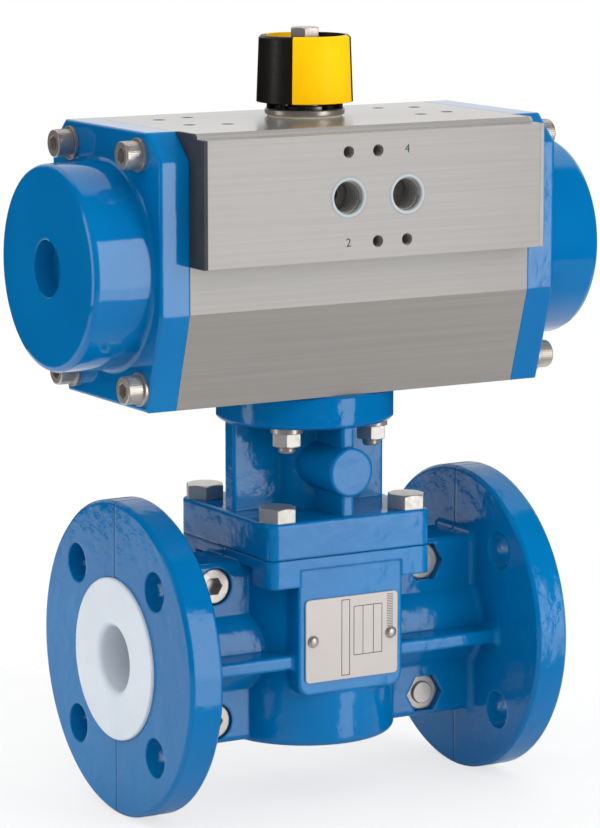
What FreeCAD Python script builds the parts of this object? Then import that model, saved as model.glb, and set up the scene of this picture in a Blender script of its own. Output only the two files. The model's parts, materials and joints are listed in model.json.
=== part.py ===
import FreeCAD, Part
import math, os

os.makedirs("parts", exist_ok=True)
V = FreeCAD.Vector

# Millimetres. X is the pipe axis, Z the stem axis, -Y the front with the nameplate.
# The pipe centre on the stem axis is the origin.

# Clearances
run_gap = 0.05
hole_gap = 0.3
loose_gap = 0.4

# Pipe flanges, DN25 PN40
face_to_face = 160.0
liner_proud = 1.5
flange_r = 57.5
flange_t = 13.0
flange_edge = 15.0
flange_hole_r = 7.0
inlet_hole_over = 0.16
port_r = 12.0
liner_t = 3.0
liner_face_gap = 6.0
mouth_round = 2.5

# Valve body
body_wall = 8.95
body_bottom = -34.5
body_top = 36.5
block_half_y = 12.5
block_half_z = 33.5
neck_wall = 3.75
rib_reach = 30.5
rib_bottom = -4.6
rib_t = 5.2
pad_half_x = 21.8
pad_proud = 0.5
pad_corner = 5.0
pad_bottom = -14.3
lug_t = 10.2
plate_t = 4.1
cast_round = 2.5
split_gap = 0.4

# Plug
plug_wall = 9.0
plug_slope = 0.045
plug_half = 20.0
stem_r = 7.5
stem_cover_t = 1.5

# Seals over the plug
lip_shelf = 3.5
diaphragm_t = 2.0
collar_t = 2.0
collar_h = 4.0
packing_r = 14.0
packing_ring_h = 2.5
packing_count = 3
gland_h = 2.5

# Body screws M8
m8_r = 4.0
m8_flats = 13.0
m8_head_h = 5.3
m8_nut_h = 6.5
m8_cap_r = 6.5
m8_cap_h = 8.0
m8_key = 6.0
body_screw_x = 44.5
body_screw_z = 25.0
body_screw_seat = 3.6
body_screw_pocket = 9.0

# Cover with its yoke
cover_margin = 1.0
cover_gap = 0.3
cover_t = 13.2
cover_corner = 4.0
cover_bolt_edge = 7.0
cover_bolt_turns = (2.0, 6.0, -4.0, 3.0)
lug_r = 9.0
column_r = 12.75
yoke_h = 32.0
yoke_web_setback = 2.3
yoke_web_t = 6.8
yoke_fin_setback = 2.5
yoke_fin_t = 5.0
yoke_boss_r = 8.9
yoke_boss_z = 16.2
yoke_flange_r = 32.5
yoke_flange_t = 12.0
f05_pcd = 50.0
stud_r = 3.0
stud_in = 9.0
stud_end = 9.5
stud_washer_t = 2.0
wall_round = 2.5
m6_flats = 10.0
m6_nut_h = 5.0
m6_washer_r = 6.0
m6_washer_t = 1.2
ring_r = 17.5
ring_t = 3.0
ring_wall = 3.0
stem_bush_h = 8.0
stem_bush_t = 1.5
stem_room = 2.0

# Nameplate
name_x = 38.4
name_z = 30.4
name_t = 0.8
name_mid_z = 5.9
rivet_x = 16.3
rivet_r = 2.2

# Actuator housing, an extrusion along X
house_half_x = 69.6
house_roof = 13.0
house_foot_in = 10.8
house_side_wall = 5.3
house_slant = 35.0
house_chamfer = 9.6
house_shoulder = 10.3
panel_proud = 10.2
panel_drop = 46.3
panel_top_drop = 1.8
panel_plate_t = 1.5
cylinder_r = 36.0

# End caps
cap_plate_t = 11.6
cap_boss_over = 1.2
cap_boss_h = 23.2
cap_hollow_step = 5.0
cap_end_t = 12.0
cap_dimple_r = 10.2
cap_dimple_h = 8.0
cap_screw_inset = 9.9
cap_screw_outset = 5.0
cap_screw_in = 14.0
cap_seal_r = 1.0
cap_seal_out = 1.6
cap_nose = 2.0
cap_taper = 0.5
m6_cap_r = 5.0
m6_cap_h = 6.0
m6_key = 5.0

# Air ports on the panel
air_port_x = 12.0
air_port_drop = 24.2
air_port_r = 5.7
air_port_depth = 12.0
air_ring_t = 1.55
air_ring_h = 1.6
air_ring_proud = 0.4
drill_r = 2.5
channel_drop = 12.0
namur_z = 16.0
m5_r = 2.1
m5_depth = 9.0
top_hole_x = 40.0
top_hole_y = 15.0
top_sink_r = 2.5
blind_hole_x = 53.5
blind_hole_y = 11.4
blind_hole_r = 2.3
blind_depth = 6.0

# Rack and pinion
gear_module = 1.5
gear_teeth = 16
rack_h = 22.0
backlash = 0.3
pinion_journal_r = 13.5
pinion_neck_r = 10.0
square_flats = 11.0
square_in = 12.0
pinion_head_h = 12.0
pinion_head_r = 7.0
pinion_head_flats = 11.0
m6_core_r = 2.6
m6_head_h = 3.6
head_screw_in = 8.0

# Pistons
piston_t = 14.0
piston_end_gap = 2.75
rack_past_centre = 5.0
rack_back = 26.0
band_w = 5.0
band_t = 1.6
oring_r = 1.2
piston_seal_r = 1.5
pad_w = 14.0

# Bushes, washers and snap ring
bush_t = 2.0
bush_h = 5.0
slide_washer_t = 1.0
thrust_washer_t = 2.0
thrust_washer_r = 14.5
snap_t = 1.2
snap_lip = 1.6

# Position indicator
cup_low_r = 17.5
cup_top_r = 16.6
cup_h = 23.9
cup_gap = 1.2
cup_wall = 2.2
cup_deck_drop = 2.2
cup_hub_r = 9.5
insert_t = 0.9

# Heights that follow from the values above
flange_pcd = 2 * (flange_r - flange_edge)
liner_face_r = flange_r - flange_edge - flange_hole_r - liner_face_gap
flange_face = face_to_face / 2 - liner_proud
flange_back = flange_face - flange_t
plug_r = port_r + plug_wall
barrel_r = plug_r + run_gap + liner_t + body_wall
pad_front = barrel_r + pad_proud
neck_hole_r = port_r + liner_t
neck_r = neck_hole_r + neck_wall
cavity_half = plug_half + liner_t
cover_half = barrel_r + cover_margin
cover_bolt_half = cover_half - cover_bolt_edge
yoke_web_half_x = cover_half - yoke_web_setback
yoke_fin_half_y = cover_half - yoke_fin_setback
yoke_boss_reach = cover_half
cover_low = body_top + cover_gap
cover_top = cover_low + cover_t
yoke_top = cover_top + yoke_h
foot_z = yoke_top + yoke_flange_t
house_h = 2 * (cylinder_r + house_roof)
house_half = cylinder_r + house_side_wall
house_top = house_half - house_shoulder
house_foot = house_half - house_foot_in
panel_reach = house_half + panel_proud
cap_boss_r = cylinder_r + cap_boss_over
cap_hollow_r = cylinder_r - cap_hollow_step
cap_screw_y = cylinder_r - cap_screw_inset
cap_screw_z = cylinder_r + cap_screw_outset
top_z = foot_z + house_h
axis_z = foot_z + house_h / 2
slant_z = foot_z + house_slant
panel_top_z = top_z - panel_top_drop
panel_low_z = top_z - panel_drop
air_z = top_z - air_port_drop
pitch_r = gear_module * gear_teeth / 2
tip_r = pitch_r + gear_module
root_r = pitch_r - 1.25 * gear_module
stroke = pitch_r * math.pi / 2
piston_out = house_half_x - piston_end_gap
piston_in = piston_out - piston_t
square_top = foot_z + square_in
washer_z = top_z + slide_washer_t
snap_z = washer_z + thrust_washer_t
cup_z = snap_z + snap_t + cup_gap
cup_top = cup_z + cup_h
deck_z = cup_top - cup_deck_drop
screw_seat_z = cup_top - 0.8
neck_top = snap_z + snap_t + 0.9
head_top = neck_top + pinion_head_h
stud_at = f05_pcd / 2 * math.sqrt(0.5)
packing_top = cover_low + gland_h + packing_count * packing_ring_h
stem_cover_top = packing_top + 1.0
seal_in_r = stem_r + stem_cover_t + run_gap
bush_low_z = foot_z + ring_t / 2 + 1.0
lower_bush_r = pinion_journal_r + bush_t
upper_bush_r = pinion_neck_r + bush_t
upper_bush_z = axis_z + cylinder_r + 1.0
seal_low_z = bush_low_z + bush_h + 1.0 + oring_r
seal_top_z = upper_bush_z + bush_h + 0.8 + oring_r
gear_half = rack_h / 2 + 2.0
seal_x = piston_out - 3.5
band_x = piston_in + 2.0
pad_x = -rack_past_centre + 2.0


def cyl_z(r, low, high, x=0.0, y=0.0):
    return Part.makeCylinder(r, high - low, V(x, y, low), V(0, 0, 1))


def cyl_x(r, low, high, y=0.0, z=0.0):
    return Part.makeCylinder(r, high - low, V(low, y, z), V(1, 0, 0))


def cyl_y(r, low, high, x=0.0, z=0.0):
    return Part.makeCylinder(r, high - low, V(x, low, z), V(0, 1, 0))


def block(x0, x1, y0, y1, z0, z1):
    return Part.makeBox(x1 - x0, y1 - y0, z1 - z0, V(x0, y0, z0))


def join(shapes):
    first = shapes[0]
    rest = shapes[1:]
    return first.fuse(rest).removeSplitter() if rest else first


def face_of(points):
    return Part.Face(Part.makePolygon(points + [points[0]]))


def turned_z(profile):
    """A solid of revolution about Z from (radius, height) points."""
    points = [V(r, 0, z) for r, z in profile]
    return face_of(points).revolve(V(0, 0, 0), V(0, 0, 1), 360)


def turned_x(profile, z=0.0):
    """A solid of revolution about a line along X at height z from (x, radius) points."""
    points = [V(x, 0, z + r) for x, r in profile]
    return face_of(points).revolve(V(0, 0, z), V(1, 0, 0), 360)


def turned_y(profile, x=0.0, z=0.0):
    """A solid of revolution about a line along Y from (radius, y) points."""
    points = [V(x + r, y, z) for r, y in profile]
    return face_of(points).revolve(V(x, 0, z), V(0, 1, 0), 360)


def swept_x(points, low, high):
    """A prism along X whose section is given by (y, z) points."""
    return face_of([V(low, y, z) for y, z in points]).extrude(V(high - low, 0, 0))


def hexagon(axis, flats, low, high, centre):
    """A hexagonal prism along Y or Z, with two corners on the line along X."""
    corner = flats / math.sqrt(3)
    points = []
    for step in range(6):
        turn = math.radians(60 * step)
        u = corner * math.cos(turn)
        w = corner * math.sin(turn)
        if axis == "Z":
            points.append(V(centre[0] + u, centre[1] + w, low))
        else:
            points.append(V(centre[0] + u, low, centre[1] + w))
    way = V(0, 0, high - low) if axis == "Z" else V(0, high - low, 0)
    return face_of(points).extrude(way)


def chamfered_hex(axis, flats, low, high, centre, ends):
    """A hexagon with its corners turned off at the named ends."""
    prism = hexagon(axis, flats, low, high, centre)
    corner = flats / math.sqrt(3)
    face_r = flats / 2 * 0.96
    drop = (corner - face_r) * 0.5
    low_r = face_r if "low" in ends else corner
    high_r = face_r if "high" in ends else corner
    low_z = low + drop if "low" in ends else low
    high_z = high - drop if "high" in ends else high
    profile = [(0, low), (low_r, low), (corner + 0.01, low_z), (corner + 0.01, high_z), (high_r, high), (0, high)]
    if "low" not in ends:
        profile[1] = (corner + 0.01, low)
    if "high" not in ends:
        profile[4] = (corner + 0.01, high)
    clean = []
    for point in profile:
        if not clean or point != clean[-1]:
            clean.append(point)
    if axis == "Z":
        turned = turned_z(clean).translated(V(centre[0], centre[1], 0))
    else:
        turned = turned_y(clean, centre[0], centre[1])
    return prism.common(turned)


def soften(shape, radius, wanted):
    """Round the edges that the test picks, and leave them sharp where the round doesn't fit."""
    edges = [edge for edge in shape.Edges if wanted(edge)]
    if not edges:
        return shape
    try:
        rounded = shape.makeFillet(radius, edges)
        return rounded if rounded.isValid() and rounded.Volume > 0 else shape
    except Exception:
        return shape


def near(a, b):
    return abs(a - b) < 0.01


def on_plane(edge, axis, value):
    box = edge.BoundBox
    low = {"X": box.XMin, "Y": box.YMin, "Z": box.ZMin}[axis]
    high = {"X": box.XMax, "Y": box.YMax, "Z": box.ZMax}[axis]
    return near(low, value) and near(high, value)


def solids(shapes):
    return Part.makeCompound(shapes)


def save(name, shape):
    shape.exportStep("parts/" + name + ".step")


# Valve body
def plug_radius(z):
    """Radius of the lined plug at a height; it narrows downwards."""
    return plug_r + plug_slope * z


def pocket_radius(z):
    return plug_radius(z) + run_gap + liner_t


lip_z = cavity_half + run_gap
lip_r = pocket_radius(lip_z) + lip_shelf
lip_top = lip_z + liner_t
diaphragm_top = lip_top + diaphragm_t
pocket_low = -cavity_half - run_gap - liner_t


def body_flange(side):
    """One pipe flange with its rim edges broken."""
    rim = 1.2
    inner = flange_back
    outer = flange_face
    profile = [(inner, 0), (inner, flange_r - rim), (inner + rim, flange_r), (outer - rim, flange_r)]
    profile += [(outer, flange_r - rim), (outer, 0)]
    return turned_x([(side * x, r) for x, r in profile])


def rounded_pad():
    """The raised square on the front that carries the nameplate, and its twin at the rear."""
    pad = block(-pad_half_x, pad_half_x, -pad_front, pad_front, pad_bottom, body_top - plate_t / 2)
    pad = soften(pad, pad_corner, lambda e: e.BoundBox.YLength > 1 and on_plane(e, "Z", pad_bottom))
    return soften(pad, 1.0, lambda e: on_plane(e, "Y", -pad_front) or on_plane(e, "Y", pad_front))


def top_flange():
    """The square plate under the cover, thick only round its four bolts."""
    plate = block(-cover_half, cover_half, -cover_half, cover_half, body_top - plate_t, body_top)
    shapes = [plate]
    limits = block(-cover_half, cover_half, -cover_half, cover_half, body_top - lug_t, body_top)
    for x in (-cover_bolt_half, cover_bolt_half):
        for y in (-cover_bolt_half, cover_bolt_half):
            shapes.append(cyl_z(lug_r, body_top - lug_t, body_top, x, y).common(limits))
    flange = join(shapes)
    corner = lambda e: e.BoundBox.ZLength > plate_t - 0.01 and near(abs(e.BoundBox.XMin), cover_half) \
        and near(abs(e.BoundBox.YMin), cover_half) and e.BoundBox.XLength < 0.01
    return soften(flange, cover_corner, corner)


def barrel():
    foot = 3.0
    post = cyl_z(barrel_r, body_bottom, body_top - 0.5)
    return soften(post, foot, lambda e: on_plane(e, "Z", body_bottom))


def side_block():
    slab = block(-flange_back - 1, flange_back + 1, -block_half_y, block_half_y, -block_half_z, block_half_z)
    return soften(slab, cast_round, lambda e: e.BoundBox.XLength > 1)


def rib():
    slab = block(-flange_back - 1, flange_back + 1, -rib_reach, rib_reach, rib_bottom, rib_bottom + rib_t)
    return soften(slab, 1.2, lambda e: e.BoundBox.XLength > 1)


def casting():
    """The outside of the two body halves as one solid."""
    neck = cyl_x(neck_r, -flange_back - 1, flange_back + 1)
    shape = join([barrel(), side_block(), neck, rib(), body_flange(1), body_flange(-1)])

    def at_flange(edge):
        box = edge.BoundBox
        flat = on_plane(edge, "X", flange_back) or on_plane(edge, "X", -flange_back)
        return flat and max(box.ZMax, -box.ZMin, box.YMax, -box.YMin) < flange_r - 5

    shape = soften(shape, cast_round, at_flange)
    shape = join([shape, rounded_pad()])

    def at_pad(edge):
        box = edge.BoundBox
        side = near(abs(box.XMin), pad_half_x) and near(abs(box.XMax), pad_half_x) and box.XLength < 0.01
        return side and max(abs(box.YMin), abs(box.YMax)) < pad_front - 1

    shape = soften(shape, 1.5, at_pad)
    return join([shape, top_flange()])


def flange_holes(inlet):
    """The bolt holes of both pipe flanges, off the axes by half a step; the inlet's drill is a touch wider."""
    holes = []
    off = flange_pcd / 2 * math.sqrt(0.5)
    radius = {inlet: flange_hole_r + inlet_hole_over, -inlet: flange_hole_r}
    for y in (-1, 1):
        for z in (-1, 1):
            holes.append(cyl_x(radius[-1], -flange_face - 1, -flange_back + 1, y * off, z * off))
            holes.append(cyl_x(radius[1], flange_back - 1, flange_face + 1, y * off, z * off))
    return holes


def body_cavity():
    """The room for the liner, the plug and the seals over it."""
    low = pocket_low
    cone = turned_z([(0, low), (pocket_radius(low), low), (pocket_radius(lip_z), lip_z),
                     (lip_r, lip_z), (lip_r, body_top + 1), (0, body_top + 1)])
    tools = [cone, cyl_x(neck_hole_r, -flange_face, flange_face)]
    sink = liner_t - liner_proud
    for side in (-1, 1):
        disc = cyl_x(liner_face_r, min(side * flange_face, side * (flange_face - sink)),
                     max(side * flange_face, side * (flange_face - sink)))
        tools.append(disc)
    return tools


def body_half(inlet):
    """The front half of the body; the inlet end is -1 for the left and 1 for the right."""
    whole = casting()
    tools = body_cavity() + flange_holes(inlet)
    for x in (-cover_bolt_half, cover_bolt_half):
        for y in (-cover_bolt_half, cover_bolt_half):
            tools.append(cyl_z(m8_r, body_top - lug_t - 1, body_top + 1, x, y))
    whole = whole.cut(tools)
    reach = flange_face + 10
    half = whole.common(block(-reach, reach, -reach, -split_gap / 2, -reach, reach))
    cuts = []
    for z in (-body_screw_z, body_screw_z):
        cuts.append(cyl_y(m8_cap_r + hole_gap, -block_half_y - body_screw_pocket, -body_screw_seat, -body_screw_x, z))
        cuts.append(hexagon("Y", m8_flats + hole_gap, -block_half_y - body_screw_pocket, -body_screw_seat, (body_screw_x, z)))
        for x in (-body_screw_x, body_screw_x):
            cuts.append(cyl_y(m8_r + hole_gap, -block_half_y, 1, x, z))
    return half.cut(cuts).removeSplitter()


def mouth_cutter(side):
    """A ring shaped cutter with a round flank, for the mouth of the flow way."""
    face = face_to_face / 2
    r = mouth_round
    start = V(side * face, 0, port_r + r)
    middle = V(side * (face - r + r * math.sqrt(0.5)), 0, port_r + r - r * math.sqrt(0.5))
    end = V(side * (face - r), 0, port_r)
    arc = Part.Arc(start, middle, end).toShape()
    centre_in = V(side * (face - r), 0, 0)
    centre_out = V(side * face, 0, 0)
    wire = Part.Wire([arc, Part.makeLine(end, centre_in), Part.makeLine(centre_in, centre_out),
                      Part.makeLine(centre_out, start)])
    return Part.Face(wire).revolve(V(0, 0, 0), V(1, 0, 0), 360)


def body_liner():
    """The one piece lining: a cup round the plug, two necks and two sealing faces."""
    low = pocket_low
    cup = turned_z([(0, low), (pocket_radius(low), low), (pocket_radius(lip_z), lip_z),
                    (lip_r, lip_z), (lip_r, lip_top), (0, lip_top)])
    face = face_to_face / 2
    neck = cyl_x(neck_hole_r, -face, face)
    shapes = [cup, neck]
    for side in (-1, 1):
        inner = side * (face - liner_t)
        outer = side * face
        disc = cyl_x(liner_face_r, min(inner, outer), max(inner, outer))
        shapes.append(soften(disc, 0.8, lambda e: on_plane(e, "X", outer)))
    shape = join(shapes)
    floor = -cavity_half - run_gap
    inside = turned_z([(0, floor), (plug_radius(floor) + run_gap, floor), (plug_radius(lip_z) + run_gap, lip_z),
                       (plug_radius(lip_z) + run_gap, lip_top + 1), (0, lip_top + 1)])
    bore = cyl_x(port_r, -face - 1, face + 1)
    return shape.cut([inside, bore, mouth_cutter(-1), mouth_cutter(1)]).removeSplitter()


# Body screws and nuts
def body_screw(x, z, way):
    """A socket screw along Y; way is -1 when its head is at the front."""
    seat = way * body_screw_seat
    head_end = way * (body_screw_seat + m8_cap_h)
    tip = -way * (body_screw_seat + m8_nut_h + 1.2)
    head = cyl_y(m8_cap_r, min(seat, head_end), max(seat, head_end), x, z)
    head = soften(head, 0.6, lambda e: on_plane(e, "Y", head_end))
    shank = cyl_y(m8_r, min(seat, tip), max(seat, tip), x, z)
    key_end = head_end - way * m8_cap_h * 0.5
    key = hexagon("Y", m8_key, min(head_end + way, key_end), max(head_end + way, key_end), (x, z))
    return head.fuse(shank).removeSplitter().cut(key)


def body_nut(x, z, side):
    """A nut in its pocket on the given side, bored to the size of the screw."""
    seat = side * body_screw_seat
    end = side * (body_screw_seat + m8_nut_h)
    nut = chamfered_hex("Y", m8_flats, min(seat, end), max(seat, end), (x, z), ("low", "high"))
    return nut.cut(cyl_y(m8_r, min(seat, end) - 1, max(seat, end) + 1, x, z))


def body_fasteners():
    screws = []
    nuts = []
    for z in (-body_screw_z, body_screw_z):
        screws.append(body_screw(-body_screw_x, z, -1))
        nuts.append(body_nut(-body_screw_x, z, 1))
        screws.append(body_screw(body_screw_x, z, 1))
        nuts.append(body_nut(body_screw_x, z, -1))
    return solids(screws), solids(nuts)


# Plug
def core_radius(z):
    return plug_radius(z) - liner_t


def plug_core():
    """The tapered metal plug with its stem and the square that drives it."""
    cone = turned_z([(0, -plug_half), (core_radius(-plug_half), -plug_half), (core_radius(plug_half), plug_half),
                     (0, plug_half)])
    stem = cyl_z(stem_r, plug_half - 1, yoke_top + 2)
    shape = join([cone, stem, square_end()])
    return shape.cut(cyl_x(neck_hole_r, -barrel_r, barrel_r))


def square_end():
    half = square_flats / 2
    post = block(-half, half, -half, half, yoke_top + 1, square_top)
    return post.common(cyl_z(stem_r, yoke_top, square_top + 1))


def plug_lining():
    """The plastic skin moulded on the plug, round its port and up its stem."""
    top = cavity_half
    sleeve_r = stem_r + stem_cover_t
    outside = turned_z([(0, -top), (plug_radius(-top), -top), (plug_radius(top), top), (sleeve_r, top),
                        (sleeve_r, stem_cover_top), (0, stem_cover_top)])
    core = turned_z([(0, -plug_half), (core_radius(-plug_half), -plug_half), (core_radius(plug_half), plug_half),
                     (stem_r, plug_half), (stem_r, stem_cover_top + 1), (0, stem_cover_top + 1)])
    way = cyl_x(neck_hole_r, -barrel_r, barrel_r)
    port = cyl_x(port_r, -barrel_r, barrel_r)
    return outside.cut(core.cut(way)).cut(port).removeSplitter()


# Seals over the plug
def stem_diaphragm():
    """A plastic disc over the plug with a collar that hugs the stem."""
    collar_r = seal_in_r + collar_t
    return turned_z([(seal_in_r, lip_top), (lip_r, lip_top), (lip_r, diaphragm_top), (collar_r, diaphragm_top),
                     (collar_r, diaphragm_top + collar_h - 1), (seal_in_r + 1, diaphragm_top + collar_h),
                     (seal_in_r, diaphragm_top + collar_h)])


def thrust_ring():
    """The metal ring that the cover presses on the diaphragm and the liner's lip."""
    inner = seal_in_r + collar_t + loose_gap
    outer = lip_r - run_gap
    return turned_z([(inner, diaphragm_top), (outer, diaphragm_top), (outer, cover_low), (inner, cover_low)])


def packing_gland():
    inner = seal_in_r + 4 * run_gap
    high = cover_low + gland_h
    return turned_z([(inner, cover_low), (packing_r, cover_low), (packing_r, high), (inner, high)])


def packing_rings():
    """A stack of chevron rings in the packing room of the cover."""
    rings = []
    low = cover_low + gland_h
    middle_r = (seal_in_r + packing_r) / 2
    v = 0.7
    for step in range(packing_count):
        z = low + step * packing_ring_h
        first = 0.0 if step == 0 else v
        last = 0.0 if step == packing_count - 1 else v
        rings.append(turned_z([(seal_in_r, z), (middle_r, z + first), (packing_r, z),
                               (packing_r, z + packing_ring_h), (middle_r, z + packing_ring_h + last),
                               (seal_in_r, z + packing_ring_h)]))
    return solids(rings)


# Cover with its yoke
def cover_plate():
    plate = block(-cover_half, cover_half, -cover_half, cover_half, cover_low, cover_top)
    plate = soften(plate, cover_corner, lambda e: e.BoundBox.ZLength > 1)
    return soften(plate, 1.2, lambda e: on_plane(e, "Z", cover_top))


def yoke_boss():
    z = cover_top + yoke_boss_z
    boss = cyl_y(yoke_boss_r, -yoke_boss_reach, yoke_boss_reach, 0, z)
    return soften(boss, 1.0, lambda e: on_plane(e, "Y", -yoke_boss_reach) or on_plane(e, "Y", yoke_boss_reach))


def yoke_flange():
    rim = 1.0
    return turned_z([(0, yoke_top), (yoke_flange_r - rim, yoke_top), (yoke_flange_r, yoke_top + rim),
                     (yoke_flange_r, foot_z - rim), (yoke_flange_r - rim, foot_z), (0, foot_z)])


def cover_yoke():
    """The cover that closes the body, cast in one with the yoke that carries the actuator."""
    web = block(-yoke_web_half_x, yoke_web_half_x, -yoke_web_t / 2, yoke_web_t / 2, cover_top - 1, yoke_top + 1)
    fin = block(-yoke_fin_t / 2, yoke_fin_t / 2, -yoke_fin_half_y, yoke_fin_half_y, cover_top - 1, yoke_top + 1)
    web = soften(web, 1.0, lambda e: e.BoundBox.ZLength > 1)
    fin = soften(fin, 1.0, lambda e: e.BoundBox.ZLength > 1)
    column = cyl_z(column_r, cover_top - 1, yoke_top + 1)
    shape = join([cover_plate(), column, web, fin, yoke_flange(), yoke_boss()])

    def at_wall(edge):
        box = edge.BoundBox
        flat = on_plane(edge, "Z", cover_top) or on_plane(edge, "Z", yoke_top)
        inside = max(abs(box.XMin), abs(box.XMax), abs(box.YMin), abs(box.YMax)) < yoke_web_half_x + 0.1
        return flat and inside

    shape = soften(shape, wall_round, at_wall)
    bush_low = yoke_top - stem_bush_h
    tools = [cyl_z(packing_r, body_top, packing_top), cyl_z(stem_r + stem_room, packing_top - 1, bush_low + 1)]
    tools.append(cyl_z(stem_r + run_gap + stem_bush_t, bush_low, yoke_top))
    tools.append(cyl_z(stem_r + hole_gap, yoke_top - 1, foot_z + 1))
    tools.append(cyl_z(ring_r, foot_z - ring_t / 2, foot_z + 1))
    for x in (-1, 1):
        for y in (-1, 1):
            tools.append(cyl_z(m8_r + hole_gap, body_top, cover_top + 1, x * cover_bolt_half, y * cover_bolt_half))
            tools.append(cyl_z(stud_r + hole_gap, yoke_top - 1, foot_z + 1, x * stud_at, y * stud_at))
    return shape.cut(tools).removeSplitter()


def cover_bolts():
    """Four hexagon bolts, each left at the turn where it came tight."""
    bolts = []
    places = [(x, y) for x in (-cover_bolt_half, cover_bolt_half) for y in (-cover_bolt_half, cover_bolt_half)]
    for (x, y), turn in zip(places, cover_bolt_turns):
        head = chamfered_hex("Z", m8_flats, cover_top, cover_top + m8_head_h, (x, y), ("high",))
        shank = cyl_z(m8_r, body_top - lug_t, cover_top + 1, x, y)
        bolt = head.fuse(shank).removeSplitter()
        bolt.rotate(V(x, y, 0), V(0, 0, 1), turn)
        bolts.append(bolt)
    return solids(bolts)


def stem_bush():
    low = yoke_top - stem_bush_h
    inner = stem_r + run_gap
    return turned_z([(inner, low), (inner + stem_bush_t, low), (inner + stem_bush_t, yoke_top), (inner, yoke_top)])


# Studs, nuts and washers between the yoke and the actuator
def actuator_fasteners():
    studs = []
    nuts = []
    washers = []
    washer_low = yoke_top - stud_washer_t
    nut_low = washer_low - m6_nut_h
    for x in (-stud_at, stud_at):
        for y in (-stud_at, stud_at):
            stud = cyl_z(stud_r, yoke_top - stud_end, foot_z + stud_in, x, y)
            studs.append(soften(stud, 0.8, lambda e: on_plane(e, "Z", yoke_top - stud_end)))
            nut = chamfered_hex("Z", m6_flats, nut_low, washer_low, (x, y), ("low",))
            nuts.append(nut.cut(cyl_z(stud_r, nut_low - 1, washer_low + 1, x, y)))
            washer = cyl_z(m6_washer_r, washer_low, yoke_top, x, y)
            washers.append(washer.cut(cyl_z(stud_r, washer_low - 1, yoke_top + 1, x, y)))
    return solids(studs), solids(nuts), solids(washers)


def centring_ring():
    low = foot_z - ring_t / 2
    high = foot_z + ring_t / 2
    return turned_z([(ring_r - ring_wall, low), (ring_r, low), (ring_r, high), (ring_r - ring_wall, high)])


# Nameplate
def nameplate():
    half = name_x / 2
    low = name_mid_z - name_z / 2
    plate = block(-half, half, -pad_front - name_t, -pad_front, low, low + name_z)
    plate = soften(plate, 1.5, lambda e: e.BoundBox.YLength > name_t / 2)
    holes = [cyl_y(rivet_r / 2, -pad_front - 2, -pad_front + 1, x, name_mid_z) for x in (-rivet_x, rivet_x)]
    return plate.cut(holes)


def nameplate_rivets():
    rivets = []
    face = -pad_front - name_t
    for x in (-rivet_x, rivet_x):
        head = turned_y([(0, face), (rivet_r, face), (rivet_r, face - 0.4), (rivet_r * 0.6, face - 1.1), (0, face - 1.3)],
                        x, name_mid_z)
        pin = cyl_y(rivet_r / 2, face - 0.1, -pad_front, x, name_mid_z)
        rivets.append(head.fuse(pin).removeSplitter())
    return solids(rivets)


# Actuator housing
def cap_outline():
    """The closed section that the housing and its end caps share."""
    right = [(house_foot, foot_z), (house_half, slant_z), (house_half, top_z - house_chamfer), (house_top, top_z)]
    left = [(-y, z) for y, z in reversed(right)]
    return right + left


def panel_outline():
    """The raised front of the extrusion, seen from the end."""
    groove = 1.0
    step = panel_reach - 6.5
    return [(0, panel_low_z), (-panel_reach, panel_low_z), (-panel_reach, panel_top_z), (-step, panel_top_z),
            (-step, panel_top_z - groove), (-step + 0.9, panel_top_z - groove), (-step + 1.2, panel_top_z + 1.0),
            (-step + 2.4, top_z), (0, top_z)]


def extrusion(points, half):
    return swept_x(points, -half, half)


def housing_air_ways():
    """Both air ports, the short way to the middle room and the long way to the two end rooms."""
    tools = []
    face = -panel_reach
    ring_r_out = air_port_r + air_ring_t
    for x in (-air_port_x, air_port_x):
        tools.append(cyl_y(air_port_r, face - 1, face + air_port_depth, x, air_z))
        tools.append(cyl_y(ring_r_out, face - 1, face + air_ring_h - air_ring_proud, x, air_z))
    tools.append(cyl_y(drill_r, face + 1, 0, -air_port_x, air_z))
    channel_y = face + air_port_depth - drill_r - 1
    channel_z = air_z - channel_drop
    tools.append(cyl_z(drill_r, channel_z, air_z, air_port_x, channel_y))
    tools.append(cyl_x(drill_r, -house_half_x, house_half_x, channel_y, channel_z))
    for side in (-1, 1):
        x = side * (house_half_x - drill_r - 1)
        tools.append(cyl_y(drill_r * 0.7, channel_y, -cylinder_r * 0.7, x, channel_z))
    return tools


def housing_screw_holes():
    """Tapped holes for the caps, the air valve, the accessories on top and the studs below, and four blind ones on top."""
    tools = []
    for y in (-cap_screw_y, cap_screw_y):
        for z in (axis_z - cap_screw_z, axis_z + cap_screw_z):
            tools.append(cyl_x(stud_r, -house_half_x - 1, -house_half_x + cap_screw_in, y, z))
            tools.append(cyl_x(stud_r, house_half_x - cap_screw_in, house_half_x + 1, y, z))
    face = -panel_reach
    for x, z in ((-air_port_x, namur_z), (0, namur_z), (0, -namur_z), (air_port_x, -namur_z)):
        tools.append(cyl_y(m5_r, face - 1, face + m5_depth, x, air_z + z))
    for x in (-top_hole_x, top_hole_x):
        for y in (-top_hole_y, top_hole_y):
            tools.append(cyl_z(m5_r, top_z - m5_depth, top_z + 1, x, y))
            sink = top_sink_r - m5_r
            tools.append(Part.makeCone(m5_r, top_sink_r, sink, V(x, y, top_z - sink), V(0, 0, 1)))
    for x in (-blind_hole_x, blind_hole_x):
        for y in (-blind_hole_y, blind_hole_y):
            tools.append(cyl_z(blind_hole_r, top_z - blind_depth, top_z + 1, x, y))
    for x in (-stud_at, stud_at):
        for y in (-stud_at, stud_at):
            tools.append(cyl_z(stud_r, foot_z - 1, foot_z + stud_in, x, y))
    return tools


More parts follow.
